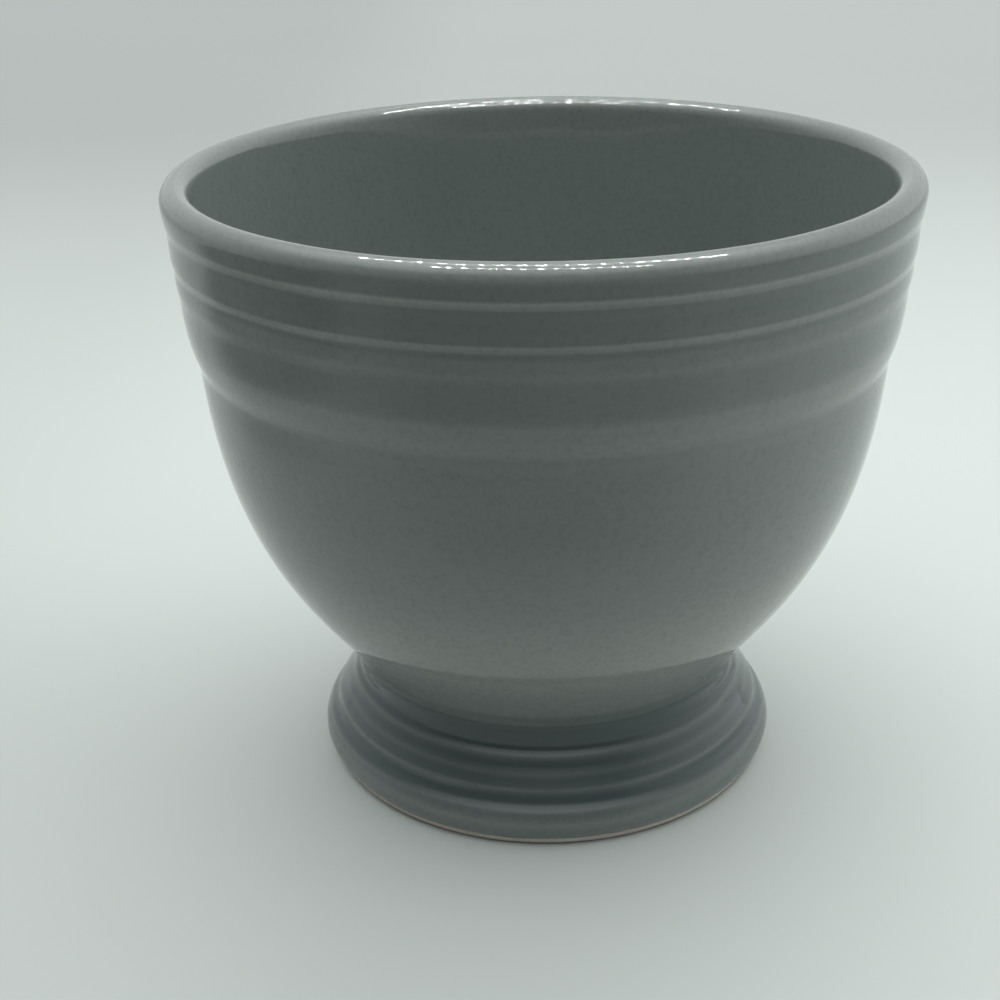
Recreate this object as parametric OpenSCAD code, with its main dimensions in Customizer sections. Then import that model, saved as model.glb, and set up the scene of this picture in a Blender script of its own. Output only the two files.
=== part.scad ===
// Footed egg cup in glazed earthenware: a bowl luted to a hollow foot, under one coat of glaze.
// The outline that is measured is the glazed one, and the clay lies one glaze thickness inside it.

/* [Overall] */
// Height from the table to the top of the rim
cup_h = 79; // [72:0.5:88]
// Diameter over the rim
rim_d = 92; // [86:0.5:100]

/* [Rim and inside] */
// Thickness of the rounded lip
lip_w = 3.8; // [3:0.1:4.6]
// Lean of the inner wall just under the lip, in degrees
inner_lean = 7; // [3:0.5:10]
// Thickness of the bowl's clay floor at its middle
floor_t = 3.8; // [2.8:0.1:6]
// How far the floor's nearly flat run is pulled past the neck
floor_pull = 3.7; // [0:0.1:6]
// How far the inner wall is pulled down on its lean, as a share of the bowl's depth
inner_pull_share = 0.958; // [0.85:0.002:1]

/* [Rings under the rim] */
// Drop from the top of the rim to the first groove
lip_band_h = 4.95; // [4.4:0.05:6]
// Drop from the top of the rim to the ridge above that groove
lip_ridge_drop = 3.95; // [3.5:0.05:4.3]
// Height of the first raised band
first_band_h = 4.7; // [3.6:0.05:5.6]
// Height of the second raised band
second_band_h = 3.55; // [2.8:0.05:4.6]
// Height of the third raised band
third_band_h = 4.7; // [3.6:0.05:5.6]
// Height of the slope below the bands
step_h = 3.4; // [2.6:0.05:4.4]
// How far that slope comes in
step_in = 0.85; // [0.5:0.05:1.3]
// Depth of a groove between two bands
groove_depth = 0.35; // [0.2:0.01:0.5]
// Where a band's ridge stands, as a share of the way down from groove to groove
ridge_share = 0.79; // [0.5:0.01:0.84]
// Lean of the ringed wall, in degrees
ring_lean = 6; // [4:0.25:8]

/* [Bowl] */
// Lean of the wall where it leaves the rings, as inward run per unit of drop
wall_run_share = 0.06; // [0.03:0.005:0.1]
// How far the side is pulled down on that lean, as a share of its own height
side_pull_share = 0.698; // [0.6:0.002:0.75]
// How far the neck is pulled straight up into the side, as a share of the side's height
neck_pull_share = 0.177; // [0.1:0.001:0.22]

/* [Neck and foot] */
// Diameter of the neck
neck_d = 51; // [47:0.25:54]
// Height of the neck's narrowest place
neck_h = 12.6; // [12.2:0.1:14]
// Thickness of the foot's wall behind the neck
neck_wall = 4.7; // [3.8:0.1:6]
// Drop from the neck's narrowest place to the first ridge of the flare
flare_drop = 1.7; // [1.3:0.05:2.2]
// How far that ridge stands out from the neck
flare_out = 0.5; // [0.2:0.05:0.8]
// Height of a tier of the flare
tier_h = 1.8; // [1.5:0.05:2.1]
// How far the flare runs out with each tier
tier_run = 1.35; // [1:0.05:1.6]
// Number of those tiers
tiers = 2; // [1:1:2]
// Depth of the hollow in a tier
tier_hollow = 0.15; // [0.05:0.01:0.3]
// Height of the ridge above the base band
base_band_h = 5.05; // [4.4:0.05:5.6]
// How far that ridge stands out from the neck
base_out = 4.35; // [3.6:0.05:5]
// Depth of the hollows above the flare's first and last ridge
flare_hollow = 0.3; // [0.1:0.01:0.4]
// How far the base band swells
base_swell = 0.7; // [0.5:0.05:1]
// Outer diameter of the standing ring
stand_d = 57.2; // [55.5:0.1:58.5]
// Width of the standing ring
stand_w = 2.4; // [1.6:0.1:3.2]
// How far the wiped clay stands out past the standing ring on either side
wiped_w = 0.95; // [0.6:0.05:1.3]
// Height of the wiped edge
wiped_h = 0.9; // [0.6:0.05:1.4]

/* [Hollow under the foot] */
// Rise of the hollow's middle above the neck's narrowest place
hollow_rise = 2.4; // [1.8:0.1:3.4]
// How far the hollow's wall bows in
wall_bow = 0.35; // [0.1:0.01:0.5]
// How far the hollow's ceiling comes down to its corner
ceiling_drop = 0.9; // [0.5:0.1:1.2]
// Radius of the hollow's corner
hollow_corner_r = 2.6; // [1.8:0.1:3.2]

/* [Making] */
// Thickness of the glaze
glaze_t = 0.35; // [0.2:0.01:0.5]
// Thickness of the slip between bowl and foot
slip_t = 0.5; // [0.3:0.05:0.8]
// How far the seam lies under the neck's narrowest place
seam_drop = 0.2; // [0:0.05:0.6]

/* [Hidden] */
$fn = 180;
rim_r = rim_d / 2;
lip_r = lip_w / 2;
lip_at = [rim_r - lip_r, cup_h - lip_r];
neck_r = neck_d / 2;
stand_r = stand_d / 2;
wiped_r = stand_r + wiped_w;
mouth_r = stand_r - stand_w - wiped_w;
seam_h = neck_h - seam_drop;
hollow_r = neck_r - neck_wall;
hollow_h = neck_h + hollow_rise;
floor_h = hollow_h + floor_t + 2 * glaze_t;
glaze_colour = [0.42, 0.47, 0.47];
clay_colour = [0.86, 0.83, 0.77];
slip_colour = [0.78, 0.74, 0.67];

// A unit vector square to a direction, on its left
function left_of(run) = [-run[1], run[0]] / norm(run);

// Points of the arc from p to q that stands out to the left by rise at its middle, without q
function bow(p, q, rise, steps) =
    let (half = norm(q - p) / 2, along = (q - p) / norm(q - p), out = left_of(q - p))
    let (radius = (half * half + rise * rise) / (2 * rise), swing = 2 * atan(rise / half))
    [for (i = [0:steps - 1])
        let (turn = swing * (2 * i / steps - 1))
        (p + q) / 2 + along * radius * sin(turn) + out * (radius * cos(turn) - radius + rise)];

// Points of an arc round a centre, without its end
function sweep(centre, radius, from, to, steps) =
    [for (i = [0:steps - 1])
        let (turn = from + (to - from) * i / steps)
        centre + radius * [cos(turn), sin(turn)]];

// Points of a curve that leaves p towards a and comes into q from b, without q
function ease(p, a, b, q, steps) =
    [for (i = [0:steps - 1])
        let (t = i / steps, s = 1 - t)
        s * s * s * p + 3 * s * s * t * a + 3 * s * t * t * b + t * t * t * q];

// The point next to an end of a line, mirrored where that end lies on the axis
function past(end, next) = end[0] == 0 ? [-next[0], next[1]] : end;

// A line moved to its right by a distance, point by point
function inside_of(line, distance) =
    let (last = len(line) - 1)
    [for (i = [0:last])
        let (before = i > 0 ? line[i - 1] : past(line[0], line[1]))
        let (after = i < last ? line[i + 1] : past(line[last], line[last - 1]))
        line[i] - distance * left_of(after - before)];

function reversed(line) = [for (i = [len(line) - 1:-1:0]) line[i]];

// The inside of the bowl, from the middle of its floor up to the lip
inner_top = lip_at + lip_r * [-cos(inner_lean), sin(inner_lean)];
inner_pull = inner_pull_share * (inner_top[1] - floor_h);
inner_line = ease([0, floor_h], [neck_r + floor_pull, floor_h],
    inner_top - inner_pull * [sin(inner_lean), cos(inner_lean)], inner_top, 26);
lip_line = sweep(lip_at, lip_r, 180 - inner_lean, 0, 16);

// The grooves of the ringed wall lie on one leaning line, a groove's depth inside the ridges
function groove_at(drop) =
    [rim_r - (drop - lip_r) * tan(ring_lean) - groove_depth, cup_h - drop];
first_drop = lip_band_h;
second_drop = first_drop + first_band_h;
third_drop = second_drop + second_band_h;
bands_drop = third_drop + third_band_h;
lip_share = (lip_ridge_drop - lip_r) / (lip_band_h - lip_r);
lip_rise = lip_share * groove_depth;
gentle_swell = groove_depth / 6;

// A band that comes out gently to its ridge and falls back faster to the groove at low, without low
function ridged(high, low, share, rise) =
    let (ridge = high + share * (low - high) + rise * left_of(low - high))
    concat(bow(high, ridge, gentle_swell, 6), [ridge]);
shoulder = groove_at(bands_drop) + [groove_depth, 0];
step_foot = groove_at(bands_drop) - [step_in, step_h];
step_hollow = groove_depth / 3;
ring_line = concat(
    ridged([rim_r, lip_at[1]], groove_at(first_drop), lip_share, lip_rise),
    ridged(groove_at(first_drop), groove_at(second_drop), ridge_share, groove_depth),
    ridged(groove_at(second_drop), groove_at(third_drop), ridge_share, groove_depth),
    bow(groove_at(third_drop), shoulder, step_hollow, 8),
    bow(shoulder, step_foot, -step_hollow, 6));

// The bowl's side, down to the neck
neck_at = [neck_r, neck_h];
side_h = step_foot[1] - neck_h;
side_line = ease(step_foot, step_foot - side_pull_share * side_h * [wall_run_share, 1],
    neck_at + [0, neck_pull_share * side_h], neck_at, 28);

// The foot's flare, hollowed from ridge to ridge, and the swelling base band
flare_top = neck_at + [flare_out, -flare_drop];
flare_last = flare_top + tiers * [tier_run, -tier_h];
base_top = [neck_r + base_out, base_band_h];
function tier_at(i) = flare_top + (flare_last - flare_top) * i / tiers;
foot_line = concat(
    bow(neck_at, flare_top, -flare_hollow, 7),
    [for (i = [0:tiers - 1], p = bow(tier_at(i), tier_at(i + 1), -tier_hollow, 5)) p],
    bow(flare_last, base_top, -flare_hollow, 7),
    bow(base_top, [wiped_r, wiped_h], base_swell, 12),
    [[wiped_r, wiped_h]]);

// The whole glazed outside, in one line, and the clay under it
coat_line = concat(inner_line, lip_line, ring_line, side_line, foot_line);
coat_clay = inside_of(coat_line, glaze_t);

// The hollow under the foot, from its wiped edge up the wall and across to the axis
corner_h = hollow_h - ceiling_drop;
wall_top = [hollow_r, corner_h - hollow_corner_r];
corner_in = [hollow_r - hollow_corner_r, corner_h];
hollow_line = concat(
    bow([mouth_r, wiped_h], wall_top, -wall_bow, 6),
    ease(wall_top, wall_top + [0, hollow_corner_r / 2], corner_in + [hollow_corner_r / 2, 0],
        corner_in, 8),
    ease(corner_in, corner_in - [hollow_corner_r, 0], [hollow_corner_r, hollow_h],
        [0, hollow_h], 8),
    [[0, hollow_h]]);
hollow_clay = inside_of(hollow_line, glaze_t);

// The dry standing ring, rounded up to both wiped edges
stand_out = [stand_r, 0];
stand_in = [stand_r - stand_w, 0];
edge_round = wiped_h / 6;
edge_steps = 4;
clay_out = coat_clay[len(coat_clay) - 1];
clay_in = hollow_clay[0];
ring_foot = concat(
    [for (i = [1:edge_steps - 1]) bow(clay_out, stand_out, edge_round, edge_steps)[i]],
    [stand_out],
    bow(stand_in, clay_in, edge_round, edge_steps));

module clay_profile() {
    polygon(concat(coat_clay, ring_foot, hollow_clay));
}

// The part of the clay profile between two heights
module clay_between(low, high) {
    intersection() {
        clay_profile();
        translate([0, low]) square([rim_r, high - low]);
    }
}

// Bowl with its neck: thrown or pressed clay, flat underneath where the foot is stuck on
module bowl() {
    color(clay_colour) rotate_extrude() clay_between(seam_h, cup_h);
}

// Hollow foot: a flared ring of clay that stands on a narrow wiped ring
module foot() {
    color(clay_colour) rotate_extrude() clay_between(0, seam_h - slip_t);
}

// Slip that joins the two, sealed in by glaze inside and out
module slip_joint() {
    color(slip_colour) rotate_extrude() clay_between(seam_h - slip_t, seam_h);
}

// Glaze over the inside, the rim and the whole outside, down to the wiped edge
module glaze_coat() {
    color(glaze_colour) rotate_extrude() polygon(concat(coat_line, reversed(coat_clay)));
}

// Glaze in the hollow of the foot
module glaze_under_foot() {
    color(glaze_colour) rotate_extrude() polygon(concat(hollow_line, reversed(hollow_clay)));
}

bowl();
foot();
slip_joint();
glaze_coat();
glaze_under_foot();
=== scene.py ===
# Footed egg cup: a ringed bowl luted to a hollow foot, under one grey-green glaze.
# The sections follow the potter's order: bowl, slip, foot and glaze, and then the table and its light.
import math

import bpy
import numpy as np
from mathutils import Matrix, Vector


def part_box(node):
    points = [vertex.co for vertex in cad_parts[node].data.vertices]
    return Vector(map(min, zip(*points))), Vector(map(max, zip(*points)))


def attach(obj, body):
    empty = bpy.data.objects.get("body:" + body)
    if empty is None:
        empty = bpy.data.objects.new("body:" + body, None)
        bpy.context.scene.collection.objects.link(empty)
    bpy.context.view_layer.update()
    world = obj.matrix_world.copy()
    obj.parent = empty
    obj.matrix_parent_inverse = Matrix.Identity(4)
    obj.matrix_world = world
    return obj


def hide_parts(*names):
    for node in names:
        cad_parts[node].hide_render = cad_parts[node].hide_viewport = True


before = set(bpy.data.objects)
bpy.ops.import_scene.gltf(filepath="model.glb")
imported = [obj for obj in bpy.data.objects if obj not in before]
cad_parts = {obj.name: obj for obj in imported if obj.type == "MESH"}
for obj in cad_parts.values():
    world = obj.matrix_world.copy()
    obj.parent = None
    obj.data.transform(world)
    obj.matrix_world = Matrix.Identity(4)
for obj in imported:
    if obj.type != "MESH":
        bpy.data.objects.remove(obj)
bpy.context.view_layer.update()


# Bowl
# Cream earthenware, shaped on the wheel, with a rounded lip and three raised bands under it.
# Glaze covers all of it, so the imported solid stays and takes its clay, and the lines of its form
# are drawn here for the glaze to follow.
millimetre = 0.001
coat_low, coat_high = (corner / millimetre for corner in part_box("glaze_coat"))
clay_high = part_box("bowl")[1] / millimetre
rim_r = coat_high.x
cup_h = coat_high.z
wiped_h = coat_low.z
glaze_t = coat_high.x - clay_high.x
lip_r = 1.9
lip_steps = 60
inner_lean = math.radians(7)
floor_h = 19.5
floor_run = 29.2
inner_pull = 55.4
ring_lean = math.radians(6)
groove_depths = [0.25, 0.2, 0.13, 0.08]
ridge_rise = 0.22
lip_ridge_share, soft_band_share, plain_band_share = 0.6, 0.8, 1 / 3
band_swell_share = 1 / 6
band_heights = [4.95, 4.65, 3.3, 5.0]
lip_crest_drop = 3.95
band_crest_share = 0.787
ledge_in, ledge_h = 0.55, 2.3
step_in, step_h, step_hollow = 1.12, 3.8, 0.03
side_pull = 31.5
wall_run_share = 0.06
neck_r, neck_h = 25.5, 12.6
neck_pull = 8
clay_rough, clay_relief = (0.72, 0.95), 0.0002
cloud_scale, cloud_share = 90, 0.35
fleck_core, fleck_edge, fleck_most = 0.05, 0.2, 0.55
# Darker towards the bottom: most below the first height above the table, none above the second, by this
# share.
bottom_dark_low, bottom_dark_high, bottom_dark_most = 0.0001, 0.0006, 0.85
bottom_dark_colour = (0.07, 0.062, 0.052)


def bow(start, end, rise, steps=24):
    """Points of the arc from start to end that stands out to the left by rise, without its end."""
    start, end = np.array(start, float), np.array(end, float)
    half = np.linalg.norm(end - start) / 2
    along = (end - start) / (2 * half)
    out = np.array([-along[1], along[0]])
    radius = (half * half + rise * rise) / (2 * rise)
    turn = 2 * math.atan(rise / half) * (2 * np.arange(steps) / steps - 1)[:, None]
    middle = (start + end) / 2 + out * (rise - radius)
    return middle + along * radius * np.sin(turn) + out * radius * np.cos(turn)


def ease(start, leave, arrive, end, steps=120):
    """Points of the curve that leaves start towards leave and comes into end from arrive, without its end."""
    t = (np.arange(steps) / steps)[:, None]
    s = 1 - t
    start, leave, arrive, end = (np.array(p, float) for p in (start, leave, arrive, end))
    return s**3 * start + 3 * s * s * t * leave + 3 * s * t * t * arrive + t**3 * end


def ridge(low, high, rise, crest_share, steps=12):
    """Points of the band from low to high, whose ridge stands out to the left by rise, without its end."""
    low, high = np.array(low, float), np.array(high, float)
    along = high - low
    crest = low + crest_share * along + rise * np.array([-along[1], along[0]]) / np.linalg.norm(along)
    share = (np.arange(steps) / steps)[:, None]
    return np.concatenate([bow(low, crest, rise * band_swell_share), crest + (high - crest) * share])


def groove_at(drop, depth):
    """A groove's place on the leaning, ringed wall, by its drop from the top of the rim."""
    return np.array([rim_r - (drop - lip_r) * math.tan(ring_lean) - depth, cup_h - drop])


lip_at = np.array([rim_r - lip_r, cup_h - lip_r])
inner_top = lip_at + lip_r * np.array([-math.cos(inner_lean), math.sin(inner_lean)])
inner_down = np.array([math.sin(inner_lean), math.cos(inner_lean)])
inner_line = ease((0, floor_h), (floor_run, floor_h), inner_top - inner_pull * inner_down, inner_top)
lip_turn = np.linspace(math.pi - inner_lean, 0, lip_steps, endpoint=False)[:, None]
lip_line = lip_at + lip_r * np.concatenate([np.cos(lip_turn), np.sin(lip_turn)], axis=1)
*grooves, shoulder = [groove_at(drop, depth) for drop, depth in zip(np.cumsum(band_heights), groove_depths)]
lip_crest_share = (lip_crest_drop - lip_r) / (band_heights[0] - lip_r)
ledge = shoulder - (ledge_in, ledge_h)
step_foot = shoulder - (step_in, step_h)
ring_line = np.concatenate([
    ridge((rim_r, lip_at[1]), grooves[0], ridge_rise * lip_ridge_share, lip_crest_share),
    ridge(grooves[0], grooves[1], ridge_rise, band_crest_share),
    bow(grooves[1], grooves[2], ridge_rise * soft_band_share),
    bow(grooves[2], shoulder, ridge_rise * plain_band_share),
    bow(shoulder, ledge, step_hollow),
    bow(ledge, step_foot, -step_hollow),
])
side_line = ease(step_foot, step_foot - side_pull * np.array([wall_run_share, 1]),
                 (neck_r, neck_h + neck_pull), (neck_r, neck_h))


def feed(tree, socket, value):
    """Give a socket its value: a number, a colour or another socket."""
    if isinstance(value, bpy.types.NodeSocket):
        tree.links.new(value, socket)
    elif isinstance(value, tuple):
        socket.default_value = (*value, 1)
    else:
        socket.default_value = value


def noise_over(tree, place, scale, detail):
    """A node of soft noise over a piece."""
    node = tree.nodes.new("ShaderNodeTexNoise")
    feed(tree, node.inputs["Vector"], place)
    feed(tree, node.inputs["Scale"], scale)
    feed(tree, node.inputs["Detail"], detail)
    return node


def ranged(tree, value, start, end, least, most, run="SMOOTHSTEP"):
    """A share that goes from least to most while value goes from start to end."""
    node = tree.nodes.new("ShaderNodeMapRange")
    node.interpolation_type = run
    feed(tree, node.inputs["Value"], value)
    for name, number in (("From Min", start), ("From Max", end), ("To Min", least), ("To Max", most)):
        feed(tree, node.inputs[name], number)
    return node.outputs["Result"]


def mixed(tree, share, first, second, mode="MIX"):
    """The second colour over the first one, by a share."""
    node = tree.nodes.new("ShaderNodeMix")
    node.data_type = "RGBA"
    node.blend_type = mode
    for name, value in (("Factor", share), ("A", first), ("B", second)):
        feed(tree, node.inputs[name], value)
    return node.outputs["Result"]


def clay_grain_group():
    """The flecks, pores and fine grain of dry clay, darker at the very bottom, for every clay surface."""
    group = bpy.data.node_groups.new("clay_grain", "ShaderNodeTree")
    for name, kind, value in (("Clay", "NodeSocketColor", (0.6, 0.53, 0.42, 1)),
                              ("Fleck", "NodeSocketColor", (0.36, 0.27, 0.18, 1)),
                              ("Grain", "NodeSocketFloat", 900.0),
                              ("Relief", "NodeSocketFloat", 0.4)):
        group.interface.new_socket(name, in_out="INPUT", socket_type=kind).default_value = value
    for name, kind in (("Colour", "NodeSocketColor"), ("Roughness", "NodeSocketFloat"),
                       ("Normal", "NodeSocketVector")):
        group.interface.new_socket(name, in_out="OUTPUT", socket_type=kind)
    nodes, links = group.nodes, group.links
    given, out = nodes.new("NodeGroupInput"), nodes.new("NodeGroupOutput")
    place = nodes.new("ShaderNodeTexCoord").outputs["Object"]

    cloud = noise_over(group, place, cloud_scale, detail=5)
    grain = noise_over(group, place, given.outputs["Grain"], detail=4)
    fleck = nodes.new("ShaderNodeTexVoronoi")
    feed(group, fleck.inputs["Vector"], place)
    feed(group, fleck.inputs["Scale"], given.outputs["Grain"])
    height = nodes.new("ShaderNodeSeparateXYZ")
    links.new(place, height.inputs[0])

    fleck_share = ranged(group, fleck.outputs["Distance"], fleck_core, fleck_edge, fleck_most, 0)
    # Darker towards the bottom, within about half a millimetre of the table.
    bottom_dark_share = ranged(group, height.outputs["Z"], bottom_dark_low, bottom_dark_high, bottom_dark_most, 0)
    shaded = mixed(group, cloud_share, given.outputs["Clay"], cloud.outputs["Color"], "MULTIPLY")
    flecked = mixed(group, fleck_share, shaded, given.outputs["Fleck"])
    links.new(mixed(group, bottom_dark_share, flecked, bottom_dark_colour), out.inputs["Colour"])
    links.new(ranged(group, grain.outputs["Fac"], 0, 1, *clay_rough, "LINEAR"), out.inputs["Roughness"])
    bump = nodes.new("ShaderNodeBump")
    bump.inputs["Distance"].default_value = clay_relief
    links.new(given.outputs["Relief"], bump.inputs["Strength"])
    links.new(grain.outputs["Fac"], bump.inputs["Height"])
    links.new(bump.outputs["Normal"], out.inputs["Normal"])
    return group


clay_grain = clay_grain_group()


def clay_material(name, clay, fleck, grain, relief):
    material = bpy.data.materials.new(name)
    material.use_nodes = True
    nodes, links = material.node_tree.nodes, material.node_tree.links
    surface = nodes["Principled BSDF"]
    effect = nodes.new("ShaderNodeGroup")
    effect.node_tree = clay_grain
    effect.inputs["Clay"].default_value = (*clay, 1)
    effect.inputs["Fleck"].default_value = (*fleck, 1)
    effect.inputs["Grain"].default_value = grain
    effect.inputs["Relief"].default_value = relief
    links.new(effect.outputs["Colour"], surface.inputs["Base Color"])
    links.new(effect.outputs["Roughness"], surface.inputs["Roughness"])
    links.new(effect.outputs["Normal"], surface.inputs["Normal"])
    return material


def dress(piece, material):
    piece.data.materials.clear()
    piece.data.materials.append(material)


cream_earthenware = clay_material("cream_earthenware", clay=(0.74, 0.69, 0.59), fleck=(0.46, 0.36, 0.26),
                                  grain=1100, relief=0.35)
dress(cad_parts["bowl"], cream_earthenware)


# Slip between bowl and foot
# A thin ring of the same clay, thinned with water and brushed on to stick the foot to the bowl.
# It is sealed in by glaze on both sides, a shade darker than the clay and finer in grain.
clay_slip = clay_material("clay_slip", clay=(0.52, 0.45, 0.35), fleck=(0.34, 0.26, 0.18),
                          grain=1900, relief=0.2)
dress(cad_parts["slip_joint"], clay_slip)


# Foot
# A separately turned ring of the same clay, hollow underneath, with ridges down its flare and a
# swelling base band. It shows only where the glaze was wiped off, on the ring that it stands on.
seam_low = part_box("slip_joint")[0].z / millimetre
hollow_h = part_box("glaze_under_foot")[1].z / millimetre - glaze_t
flare_top = np.array([26.2, 10.65])
tier = np.array([1.23, -1.65])
base_top = np.array([29.95, 4.9])
tier_hollow = 0.09
flare_hollow = 0.3
bead_half, bead_rise = 0.5, 0.11
wall_bow = 0.35
base_swell = 0.7
wiped_r = 29.75
stand_r, stand_w = 29.25, 2.7
mouth_r = 25.25
hollow_r = 20.8
ceiling_drop = 0.9
hollow_corner_r = 2.6
edge_round, stand_bow = 0.15, 0.01
sponge_flow = 0.1
outer_step, inner_step, ring_step = 0.2, 0.4, 0.3
outer_wiped, inner_wiped = 6, 3
turned_segments = 192
merge_reach = 1e-6
wander_fineness = 3


def even(line, step):
    """The same line, by points at even steps."""
    run = np.concatenate([[0], np.cumsum(np.linalg.norm(np.diff(line, axis=0), axis=1))])
    stations = np.linspace(0, run[-1], round(run[-1] / step) + 1)
    return np.stack([np.interp(stations, run, line[:, k]) for k in (0, 1)], axis=1)


def melted(line, flow, step=0.05):
    """A line with its corners drawn round over the length flow, as glaze or a sponge leaves them."""
    points = even(line, step)
    reach = round(3 * flow / step)
    weights = np.exp(-0.5 * (np.arange(-reach, reach + 1) * step / flow) ** 2)
    before = 2 * points[0] - points[reach:0:-1]
    after = 2 * points[-1] - points[-2:-reach - 2:-1]
    wide = np.concatenate([before, points, after])
    return np.stack([np.convolve(wide[:, k], weights / weights.sum(), "valid") for k in (0, 1)], axis=1)


def bends(line):
    """How sharply a line turns to its right at each point, in turns of a radian per millimetre."""
    slope = np.gradient(line, axis=0)
    heading = np.unwrap(np.arctan2(slope[:, 1], slope[:, 0]))
    return -np.gradient(heading) / np.maximum(np.linalg.norm(slope, axis=1), 1e-9)


def picked(line, most_turn=math.radians(6), most_step=0.9):
    """Numbers of the points that a turned mesh needs: close together where the line bends."""
    steps = np.linalg.norm(np.diff(line, axis=0), axis=1)
    cost = np.maximum(steps / most_step, np.abs(bends(line))[1:] * steps / most_turn)
    total = np.concatenate([[0], np.cumsum(cost)])
    wanted = np.linspace(0, total[-1], math.ceil(total[-1]) + 1)
    return sorted(set(int(i) for i in np.searchsorted(total, wanted - 1e-9)))


def inside_of(line, distance):
    """A line moved to its right, point by point."""
    slope = np.gradient(line, axis=0)
    slope[0] = slope[0] if line[0][0] > 0 else (1, 0)
    slope[-1] = slope[-1] if line[-1][0] > 0 else (-1, 0)
    left = np.stack([-slope[:, 1], slope[:, 0]], axis=1) / np.linalg.norm(slope, axis=1)[:, None]
    return line - distance * left


def turning_tree():
    """Geometry nodes that turn a profile round the axis and give the skin its slight unevenness."""
    tree = bpy.data.node_groups.new("turned_on_the_wheel", "GeometryNodeTree")
    face = tree.interface
    face.new_socket("Profile", in_out="INPUT", socket_type="NodeSocketGeometry")
    face.new_socket("Segments", in_out="INPUT", socket_type="NodeSocketInt").default_value = turned_segments
    face.new_socket("Waviness", in_out="INPUT", socket_type="NodeSocketFloat").default_value = 0.0
    face.new_socket("Wave scale", in_out="INPUT", socket_type="NodeSocketFloat").default_value = 60.0
    face.new_socket("Edge wander", in_out="INPUT", socket_type="NodeSocketFloat").default_value = 0.0
    face.new_socket("Seed", in_out="INPUT", socket_type="NodeSocketFloat").default_value = 1.0
    face.new_socket("Material", in_out="INPUT", socket_type="NodeSocketMaterial")
    face.new_socket("Piece", in_out="OUTPUT", socket_type="NodeSocketGeometry")
    nodes, links = tree.nodes, tree.links
    given, out = nodes.new("NodeGroupInput"), nodes.new("NodeGroupOutput")

    def maths(operation, first, second=None):
        node = nodes.new("ShaderNodeMath")
        node.operation = operation
        feed(tree, node.inputs[0], first)
        if second is not None:
            feed(tree, node.inputs[1], second)
        return node.outputs[0]

    count = nodes.new("GeometryNodeAttributeDomainSize")
    links.new(given.outputs["Profile"], count.inputs["Geometry"])
    points = count.outputs["Point Count"]
    grid = nodes.new("GeometryNodeMeshGrid")
    links.new(maths("ADD", given.outputs["Segments"], 1), grid.inputs["Vertices X"])
    links.new(points, grid.inputs["Vertices Y"])
    index = nodes.new("GeometryNodeInputIndex").outputs[0]
    column = maths("FLOOR", maths("DIVIDE", maths("ADD", index, 0.5), points))
    row = maths("SUBTRACT", index, maths("MULTIPLY", column, points))
    angle = maths("DIVIDE", maths("MULTIPLY", column, math.tau), given.outputs["Segments"])

    def on_profile(kind, field):
        node = nodes.new("GeometryNodeSampleIndex")
        node.data_type = kind
        links.new(given.outputs["Profile"], node.inputs["Geometry"])
        links.new(field, node.inputs["Value"])
        links.new(row, node.inputs["Index"])
        return node.outputs["Value"]

    def named(name):
        node = nodes.new("GeometryNodeInputNamedAttribute")
        node.data_type = "FLOAT"
        node.inputs["Name"].default_value = name
        return node.outputs["Attribute"]

    place = nodes.new("ShaderNodeSeparateXYZ")
    links.new(on_profile("FLOAT_VECTOR", nodes.new("GeometryNodeInputPosition").outputs[0]), place.inputs[0])
    turned = nodes.new("ShaderNodeCombineXYZ")
    links.new(maths("MULTIPLY", place.outputs["X"], maths("COSINE", angle)), turned.inputs["X"])
    links.new(maths("MULTIPLY", place.outputs["X"], maths("SINE", angle)), turned.inputs["Y"])
    links.new(place.outputs["Z"], turned.inputs["Z"])
    shaped = nodes.new("GeometryNodeSetPosition")
    links.new(grid.outputs["Mesh"], shaped.inputs["Geometry"])
    links.new(turned.outputs[0], shaped.inputs["Position"])

    geometry = shaped.outputs["Geometry"]
    for name in ("thin_and_painted_light", "inside", "shown", "edge"):
        kept = nodes.new("GeometryNodeStoreNamedAttribute")
        kept.data_type = "FLOAT"
        kept.domain = "POINT"
        kept.inputs["Name"].default_value = name
        links.new(geometry, kept.inputs["Geometry"])
        links.new(on_profile("FLOAT", named(name)), kept.inputs["Value"])
        geometry = kept.outputs["Geometry"]
    joined = nodes.new("GeometryNodeMergeByDistance")
    joined.inputs["Distance"].default_value = merge_reach
    links.new(geometry, joined.inputs["Geometry"])
    outward = nodes.new("GeometryNodeFlipFaces")
    links.new(joined.outputs["Geometry"], outward.inputs["Mesh"])

    def noise(scale, detail):
        node = nodes.new("ShaderNodeTexNoise")
        node.noise_dimensions = "4D"
        node.inputs["Detail"].default_value = detail
        links.new(nodes.new("GeometryNodeInputPosition").outputs[0], node.inputs["Vector"])
        links.new(given.outputs["Seed"], node.inputs["W"])
        links.new(scale, node.inputs["Scale"])
        return node.outputs[0]

    depth = maths("MULTIPLY", noise(given.outputs["Wave scale"], detail=1), named("shown"))
    depth = maths("MULTIPLY", depth, maths("MULTIPLY", given.outputs["Waviness"], -1))
    sunk = nodes.new("ShaderNodeVectorMath")
    sunk.operation = "SCALE"
    links.new(nodes.new("GeometryNodeInputNormal").outputs[0], sunk.inputs[0])
    links.new(depth, sunk.inputs["Scale"])
    wavy = nodes.new("GeometryNodeSetPosition")
    links.new(outward.outputs["Mesh"], wavy.inputs["Geometry"])
    links.new(sunk.outputs[0], wavy.inputs["Offset"])

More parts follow.
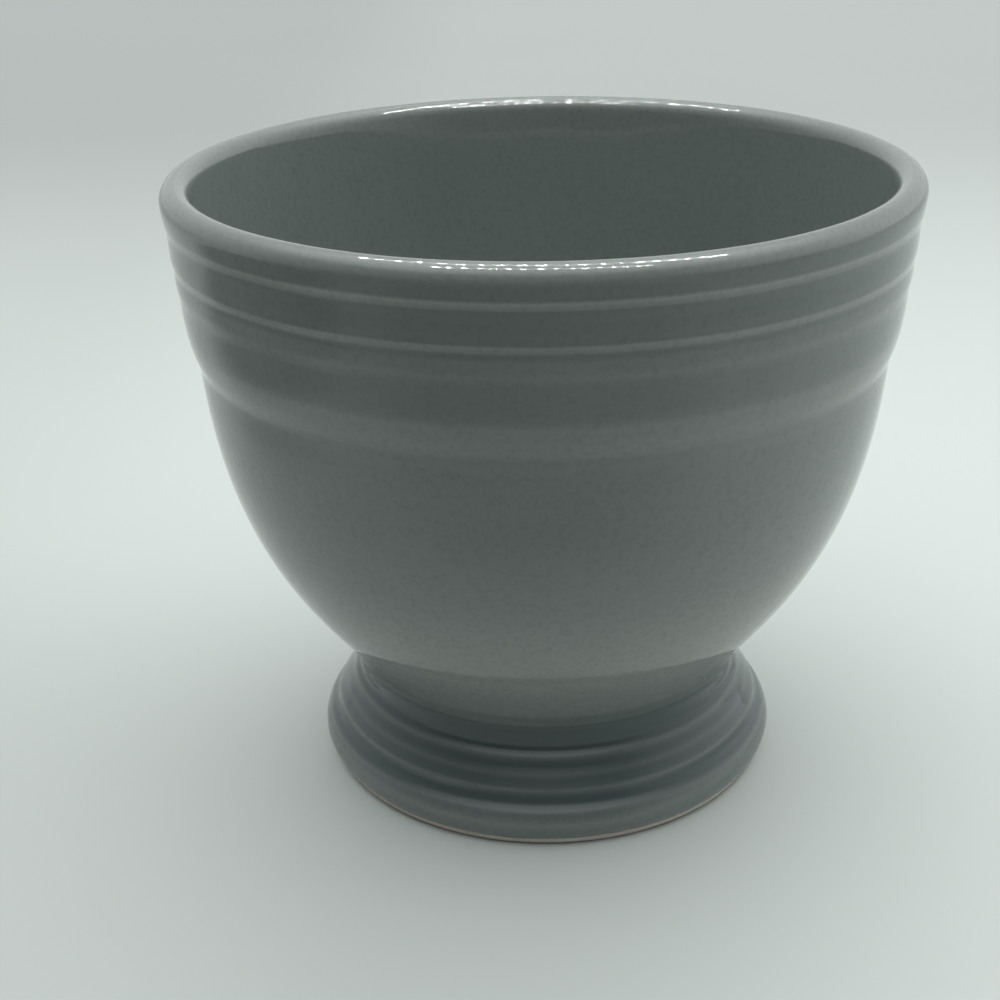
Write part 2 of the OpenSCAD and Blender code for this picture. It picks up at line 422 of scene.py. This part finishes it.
    wander_scale = maths("MULTIPLY", given.outputs["Wave scale"], wander_fineness)
    wander = maths("MULTIPLY", noise(wander_scale, detail=2), named("edge"))
    lifted = nodes.new("ShaderNodeCombineXYZ")
    links.new(maths("MULTIPLY", wander, given.outputs["Edge wander"]), lifted.inputs["Z"])
    wiped = nodes.new("GeometryNodeSetPosition")
    links.new(wavy.outputs["Geometry"], wiped.inputs["Geometry"])
    links.new(lifted.outputs[0], wiped.inputs["Offset"])

    smooth = nodes.new("GeometryNodeSetShadeSmooth")
    links.new(wiped.outputs["Geometry"], smooth.inputs["Geometry"])
    real = nodes.new("GeometryNodeRealizeInstances")
    links.new(smooth.outputs["Geometry"], real.inputs["Geometry"])
    painted = nodes.new("GeometryNodeSetMaterial")
    links.new(real.outputs["Geometry"], painted.inputs["Geometry"])
    links.new(given.outputs["Material"], painted.inputs["Material"])
    links.new(painted.outputs["Geometry"], out.inputs["Piece"])
    return tree


turned_on_the_wheel = turning_tree()


def turned_piece(name, line, marks, material, **sizes):
    """A piece turned from a profile line, whose points carry marks: the glaze's thinness together with
    painted light and shade, then inside, shown and edge.
    """
    profile = bpy.data.meshes.new(name)
    places = [(x * millimetre, 0, z * millimetre) for x, z in line]
    profile.from_pydata(places, [(i, i + 1) for i in range(len(line) - 1)], [])
    for mark, values in marks.items():
        profile.attributes.new(mark, "FLOAT", "POINT").data.foreach_set("value", values)
    piece = bpy.data.objects.new(name, profile)
    bpy.context.scene.collection.objects.link(piece)
    wheel = piece.modifiers.new("wheel", "NODES")
    wheel.node_group = turned_on_the_wheel
    sockets = {s.name: s.identifier for s in turned_on_the_wheel.interface.items_tree if s.in_out == "INPUT"}
    wheel[sockets["Material"]] = material
    wheel[sockets["Segments"]] = turned_segments
    for size, value in sizes.items():
        wheel[sockets[size.replace("_", " ").capitalize()]] = value
    solid = bpy.data.meshes.new_from_object(piece.evaluated_get(bpy.context.evaluated_depsgraph_get()))
    piece.modifiers.clear()
    piece.data = solid
    solid.name = name
    bpy.data.meshes.remove(profile)
    return piece


down_flare = tier / np.linalg.norm(tier)
half_bead = bead_half * down_flare
foot_line = np.concatenate([
    bow((neck_r, neck_h), flare_top - half_bead, -flare_hollow),
    bow(flare_top - half_bead, flare_top + half_bead, bead_rise, steps=8),
    bow(flare_top + half_bead, flare_top + tier, -tier_hollow),
    bow(flare_top + tier, flare_top + 2 * tier, -tier_hollow),
    bow(flare_top + 2 * tier, base_top - half_bead, -flare_hollow),
    bow(base_top - half_bead, base_top + half_bead, bead_rise, steps=8),
    bow(base_top + half_bead, (wiped_r, wiped_h), base_swell, steps=48),
    [(wiped_r, wiped_h)],
])
corner_h = hollow_h - ceiling_drop
wall_top = np.array([hollow_r, corner_h - hollow_corner_r])
corner_in = np.array([hollow_r - hollow_corner_r, corner_h])
half_corner = hollow_corner_r / 2
hollow_line = np.concatenate([
    bow((mouth_r, wiped_h), wall_top, -wall_bow),
    ease(wall_top, wall_top + (0, half_corner), corner_in + (half_corner, 0), corner_in, steps=24),
    ease(corner_in, corner_in - (hollow_corner_r, 0), (hollow_corner_r, hollow_h), (0, hollow_h), steps=24),
    [(0, hollow_h)],
])
outer_clay = inside_of(even(foot_line, outer_step), glaze_t)
inner_clay = inside_of(even(hollow_line, inner_step), glaze_t)
outer_clay = outer_clay[outer_clay[:, 1] < seam_low]
inner_clay = inner_clay[:np.argmax(inner_clay[:, 1] > seam_low)]
standing_ring = melted(np.concatenate([
    outer_clay[-outer_wiped:],
    bow(outer_clay[-1], (stand_r, 0), edge_round, steps=8),
    bow((stand_r, 0), (stand_r - stand_w, 0), stand_bow, steps=8),
    bow((stand_r - stand_w, 0), inner_clay[0], edge_round, steps=8),
    inner_clay[:inner_wiped],
]), sponge_flow)
standing_ring[:, 1] = np.maximum(standing_ring[:, 1], 0)
foot_clay_line = np.concatenate([
    [(inner_clay[-1][0], seam_low), (outer_clay[0][0], seam_low)],
    outer_clay[:-outer_wiped],
    standing_ring[picked(standing_ring, most_step=ring_step)],
    inner_clay[inner_wiped:],
    [(inner_clay[-1][0], seam_low)],
])
foot_clay = turned_piece("foot_clay", foot_clay_line, {}, cream_earthenware)
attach(foot_clay, "root")
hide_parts("foot")


# Glaze coat
# One grey-green glaze, poured inside and dipped outside, fired glossy. It melts round the bands,
# lies thin and pale on their crests and pools darker in the grooves, down to the wiped edge.
# Light and shade are painted into its colour too: painted highlights on the ridges, the step and
# the lip, painted shade on the foot, the neck and the upper bands, and painted light on the rest
# of the bowl, outside and in.
glaze_flow = 0.35
edge_nose, edge_reach = 0.12, 0.8
back_step = 0.8
# Painted light: the glaze inside the bowl is made lighter by this share.
inside_painted_light_share = 1.24
glaze_ior, glaze_rough = 1.52, (0.03, 0.06)
clouds, speckles = (30, 0.4, 0.75, 0.12), (1400, 0.4, 0.8, 0.18)
skin_relief, skin_strength = 0.0002, 0.025
# The mark for thin glaze also carries painted light and shade: below the first pair the colour turns to the
# dark one, above the second to the pale one.
pooled_and_shade_from, pooled_and_shade_full = -0.5, -2.0
thin_and_lit_from, thin_and_lit_full, thin_and_lit_most = 0.55, 1.9, 0.8
# The lip's top is paler: partly the glaze lying thin there, partly a painted highlight.
lip_pale_and_lit_h, lip_pale_and_lit_run, lip_pale_and_lit_most = 2.7, 1.2, 0.52
# Painted light above zero and painted shade below zero, by height up the outside, added to the glaze's
# thinness: shade on the foot, the neck and the upper bands, light on the rest of the bowl.
painted_light_and_shade_by_height = [(2.5, -0.75), (4.5, -0.8), (5.4, -1.3), (12.5, -1.7), (14.2, -1.8), (15.1, -0.8), (15.9, 0.65),
        (17, 1.15), (20.5, 1.35), (24, 1.65), (29, 1.55), (38, 1.15), (48, 0.95), (58.4, 1.0), (59.3, 1.15),
        (61.5, 1.15), (62.3, 0.8), (69, 0.75), (69.8, 0), (71, -0.8), (73.5, -0.8), (74.5, 0),
        (75.8, -0.7), (76.7, -0.7), (77.4, 0)]
# Painted highlight lines along the narrow ridges and the step, and painted shade on two ridges of the foot,
# added to that by their drop from the top of the rim.
painted_crest_marks = [(4.2, 1.75), (8.75, 1.5), (12.6, 0.3), (21.6, 0.35), (71.65, -0.4), (74.1, -0.5)]
painted_crest_reach = 0.95


def glaze_material(name, body, thin_and_painted_light, pooled_and_painted_shade):
    """Glossy glaze: lighter where it is thin, darker where it pools, with a faint speckle.
    Painted light and shade go on through the same marks, and the inside of the bowl is painted lighter.
    """
    material = bpy.data.materials.new(name)
    material.use_nodes = True
    tree = material.node_tree
    nodes, links = tree.nodes, tree.links
    surface = nodes["Principled BSDF"]
    surface.inputs["IOR"].default_value = glaze_ior
    place = nodes.new("ShaderNodeTexCoord").outputs["Object"]

    def mark(name):
        node = nodes.new("ShaderNodeAttribute")
        node.attribute_name = name
        return node.outputs["Fac"]

    def noise(scale, detail=2):
        return noise_over(tree, place, scale, detail).outputs["Fac"]

    def spots(scale, start, end, most):
        return ranged(tree, noise(scale), start, end, 0, most)

    # Painted light inside the bowl: its glaze is made lighter than outside.
    inside_painted_tone = tuple(inside_painted_light_share * c for c in body)
    inside_painted_colour = mixed(tree, ranged(tree, mark("inside"), 0, 1, 0, 1), body, inside_painted_tone)
    colour = mixed(tree, spots(*clouds), inside_painted_colour, pooled_and_painted_shade)
    colour = mixed(tree, ranged(tree, mark("thin_and_painted_light"), pooled_and_shade_from, pooled_and_shade_full, 0, 1), colour, pooled_and_painted_shade)
    colour = mixed(tree, ranged(tree, mark("thin_and_painted_light"), thin_and_lit_from, thin_and_lit_full, 0, thin_and_lit_most), colour, thin_and_painted_light)
    colour = mixed(tree, spots(*speckles), colour, pooled_and_painted_shade)
    links.new(colour, surface.inputs["Base Color"])
    links.new(ranged(tree, noise(120, detail=3), 0, 1, *glaze_rough, "LINEAR"), surface.inputs["Roughness"])
    skin = nodes.new("ShaderNodeBump")
    skin.inputs["Strength"].default_value = skin_strength
    skin.inputs["Distance"].default_value = skin_relief
    links.new(noise(700), skin.inputs["Height"])
    links.new(skin.outputs["Normal"], surface.inputs["Normal"])
    return material


grey_green_glaze = glaze_material("grey_green_glaze", body=(0.172, 0.198, 0.192),
                                  thin_and_painted_light=(0.38, 0.395, 0.37), pooled_and_painted_shade=(0.066, 0.088, 0.09))

coat_outline = np.concatenate([inner_line, lip_line, ring_line, side_line, foot_line])
coat_line = melted(coat_outline, glaze_flow)
coat_points = picked(coat_line)
coat_face = coat_line[coat_points]
coat_back = inside_of(even(coat_outline, back_step), glaze_t)[::-1]
coat_nose = bow(coat_face[-1], coat_back[0], edge_nose, steps=6)[1:]
coat_profile = np.concatenate([coat_face, coat_nose, coat_back])
blank = np.zeros(len(coat_profile) - len(coat_face))
# The points on the inside of the bowl, which get the painted light.
inner_face = np.arange(len(coat_face)) < np.argmax(coat_face[:, 1])
# Paler towards the top of the lip: thin glaze and a painted highlight.
lip_pale_and_lit = np.clip((coat_face[:, 1] - (cup_h - lip_pale_and_lit_h)) / lip_pale_and_lit_run, 0, 1)
# Painted light and shade on the outside, by height.
coat_painted_light_and_shade = np.interp(coat_face[:, 1], *zip(*painted_light_and_shade_by_height), left=0)
# Painted highlight lines on the crests, and painted shade where the value is below zero.
for drop, most in painted_crest_marks:
    coat_painted_light_and_shade += most * np.exp(-((coat_face[:, 1] - (cup_h - drop)) / painted_crest_reach) ** 2)
# Thinness from how the line bends, plus the lip's pale top, the painted light and shade by height and the
# painted crest lines.
coat_thin_and_lit = bends(coat_line)[coat_points] + lip_pale_and_lit_most * lip_pale_and_lit + np.where(inner_face, 0, coat_painted_light_and_shade)
coat_marks = {
    "thin_and_painted_light": np.concatenate([coat_thin_and_lit, blank]),
    "inside": np.concatenate([inner_face, blank]),
    "shown": np.concatenate([np.ones(len(coat_face)), blank]),
    "edge": np.exp(-np.linalg.norm(coat_profile - coat_face[-1], axis=1) / edge_reach),
}
glaze_coat = turned_piece("glaze_coat_skin", coat_profile, coat_marks, grey_green_glaze,
                          waviness=0.00012, wave_scale=55.0, edge_wander=0.0003, seed=3.0)
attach(glaze_coat, "root")
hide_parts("glaze_coat")


# Glaze inside the foot
# The patch of the same glaze in the hollow of the foot, thinner and less even, with its own wiped edge.
under_face = melted(hollow_line, glaze_flow)
under_points = picked(under_face)
under_back = inside_of(even(hollow_line, back_step), glaze_t)[::-1]
under_nose = bow(under_back[-1], under_face[0], edge_nose, steps=6)
under_profile = np.concatenate([under_face[under_points], under_back, under_nose, [under_face[0]]])
blank = np.zeros(len(under_profile) - len(under_points))
under_marks = {
    "thin_and_painted_light": np.concatenate([bends(under_face)[under_points], blank]),
    "shown": np.concatenate([[0], np.ones(len(under_points) - 1), blank]),
    "edge": np.exp(-np.linalg.norm(under_profile - under_face[0], axis=1) / edge_reach),
}
glaze_hollow = turned_piece("glaze_in_hollow", under_profile, under_marks, grey_green_glaze,
                            waviness=0.0002, wave_scale=70.0, edge_wander=0.0003, seed=8.0)
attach(glaze_hollow, "root")
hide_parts("glaze_under_foot")


# Table, light and camera
# A pale table in a small light tent with a bright roof, back and sides, and the camera at the photograph's
# angle. Shade is painted on the table, darker away from the cup. Two strips of small lamps under the roof,
# and what is dark in the room, painted as shade on the table, show only in the glaze's reflections.
table_half = 3.0
table_colour, table_rough = (0.66, 0.70, 0.685), 0.55
mottle_scale, mottle_share = 6, 0.96
# Painted shade that makes the table darker: the axis, where the fall starts and ends, and the share that is
# left.
painted_shade_falls = [("Y", -0.02, -0.18, 0.52), ("Y", 0.1, 0.45, 0.68), ("X", -0.02, -0.13, 0.86)]
# Round patches of painted shade on it: centre, reach and the share that is left.
# The mirrored ones aren't seen directly.
painted_shade_patches = [((-0.15, -0.12, 0), 0.2, 0.87)]
mirrored_painted_shade = [((-0.25, -0.03, 0), 0.15, 0.3), ((0, -0.2, 0), 0.16, 0.6)]
patch_core = 0.6
lamp_w, lamp_d, lamp_power = 0.004, 0.003, 0.032
lamps_h = 0.3
# The first and the last lamp of each row, and how many there are.
lamp_rows = [("back_strip", (-0.098, 0.104), (0.122, 0.022), 21),
             ("front_strip", (-0.078, -0.038), (0.088, -0.074), 16)]
# How the tent glows: the axis, where its glow starts and where it is full, and its strength there.
glows = [("Y", -0.7, 0.5, 0.6), ("X", 0.45, 1.0, 0.5), ("Z", 0.55, 0.95, 1.6)]
tent_dimmest = 0.11
tent_colour, backdrop_colour = (0.97, 1, 0.985), (0.585, 0.64, 0.62)
camera_at = (0, -0.1970, 0.1221)
camera_turns = (-1.707, 24.084, -1.2525)
camera_lens, camera_sensor = 58.48, 36


def table_material(colour):
    """Pale matt paper, a little mottled, with painted shade that makes it darker away from the cup."""
    material = bpy.data.materials.new("pale_table")
    material.use_nodes = True
    tree = material.node_tree
    nodes, links = tree.nodes, tree.links
    surface = nodes["Principled BSDF"]
    surface.inputs["Roughness"].default_value = table_rough
    place = nodes.new("ShaderNodeTexCoord").outputs["Object"]
    along = nodes.new("ShaderNodeSeparateXYZ")
    links.new(place, along.inputs[0])
    seen = nodes.new("ShaderNodeLightPath").outputs["Is Camera Ray"]

    def around(centre, reach, least):
        away = nodes.new("ShaderNodeVectorMath")
        away.operation = "DISTANCE"
        away.inputs[1].default_value = centre
        links.new(place, away.inputs[0])
        return ranged(tree, away.outputs["Value"], reach, patch_core * reach, 1, least)

    def unless_seen(share):
        shown = nodes.new("ShaderNodeMath")
        shown.operation = "MAXIMUM"
        links.new(share, shown.inputs[0])
        links.new(seen, shown.inputs[1])
        return shown.outputs[0]

    # Painted shade on the table, from falls along its axes and from round patches.
    shares = [ranged(tree, along.outputs[axis], near, far, 1, least) for axis, near, far, least in painted_shade_falls]
    shares += [unless_seen(around(*patch)) for patch in mirrored_painted_shade]
    shares += [around(*patch) for patch in painted_shade_patches]
    mottle = noise_over(tree, place, mottle_scale, detail=4).outputs["Fac"]
    shaded = mixed(tree, mottle, colour, tuple(mottle_share * c for c in colour))
    for share in shares:
        dimmed = nodes.new("ShaderNodeVectorMath")
        dimmed.operation = "SCALE"
        links.new(shaded, dimmed.inputs[0])
        links.new(share, dimmed.inputs["Scale"])
        shaded = dimmed.outputs["Vector"]
    links.new(shaded, surface.inputs["Base Color"])
    return material


table_mesh = bpy.data.meshes.new("table")
table_mesh.from_pydata([(x * table_half, y * table_half, 0) for x, y in ((-1, -1), (1, -1), (1, 1), (-1, 1))],
                       [], [(0, 1, 2, 3)])
table = bpy.data.objects.new("table", table_mesh)
bpy.context.scene.collection.objects.link(table)
table_mesh.materials.append(table_material(table_colour))


def lamp_row(name, start, end, count):
    """A strip of small lamps under the roof of the photographer's tent."""
    for i in range(count):
        lamp = bpy.data.lights.new(f"{name}_{i + 1}", "AREA")
        lamp.shape = "RECTANGLE"
        lamp.size, lamp.size_y = lamp_w, lamp_d
        lamp.energy = lamp_power
        light = bpy.data.objects.new(lamp.name, lamp)
        light.location = Vector(start).lerp(Vector(end), i / (count - 1))
        light.visible_diffuse = False
        bpy.context.scene.collection.objects.link(light)


for name, start, end, count in lamp_rows:
    lamp_row(name, (*start, lamps_h), (*end, lamps_h), count)

world = bpy.data.worlds.new("tent")
bpy.context.scene.world = world
world.use_nodes = True
sky = world.node_tree
facing = sky.nodes.new("ShaderNodeSeparateXYZ")
sky.links.new(sky.nodes.new("ShaderNodeTexCoord").outputs["Generated"], facing.inputs[0])


def total(first, second):
    node = sky.nodes.new("ShaderNodeMath")
    feed(sky, node.inputs[0], first)
    feed(sky, node.inputs[1], second)
    return node.outputs[0]


back_wall, right_wall, roof = [ranged(sky, facing.outputs[axis], start, end, 0, most)
                               for axis, start, end, most in glows]
brightness = total(total(back_wall, right_wall), roof)
tent = sky.nodes["Background"]
feed(sky, tent.inputs["Color"], tent_colour)
feed(sky, tent.inputs["Strength"], total(brightness, tent_dimmest))
backdrop = sky.nodes.new("ShaderNodeBackground")
feed(sky, backdrop.inputs["Color"], backdrop_colour)
seen_or_lit = sky.nodes.new("ShaderNodeMixShader")
feed(sky, seen_or_lit.inputs["Fac"], sky.nodes.new("ShaderNodeLightPath").outputs["Is Camera Ray"])
feed(sky, seen_or_lit.inputs[1], tent.outputs[0])
feed(sky, seen_or_lit.inputs[2], backdrop.outputs[0])
feed(sky, sky.nodes["World Output"].inputs["Surface"], seen_or_lit.outputs[0])

camera_data = bpy.data.cameras.new("camera")
camera_data.sensor_width = camera_sensor
camera_data.lens = camera_lens
camera = bpy.data.objects.new("camera", camera_data)
yaw, pitch, roll = (math.radians(turn) for turn in camera_turns)
aimed = (Matrix.Rotation(-yaw, 4, "Z") @ Matrix.Rotation(math.pi / 2 - pitch, 4, "X")
         @ Matrix.Rotation(roll, 4, "Z"))
camera.matrix_world = Matrix.Translation(camera_at) @ aimed
bpy.context.scene.collection.objects.link(camera)
bpy.context.scene.camera = camera
bpy.context.scene.view_settings.view_transform = "Standard"
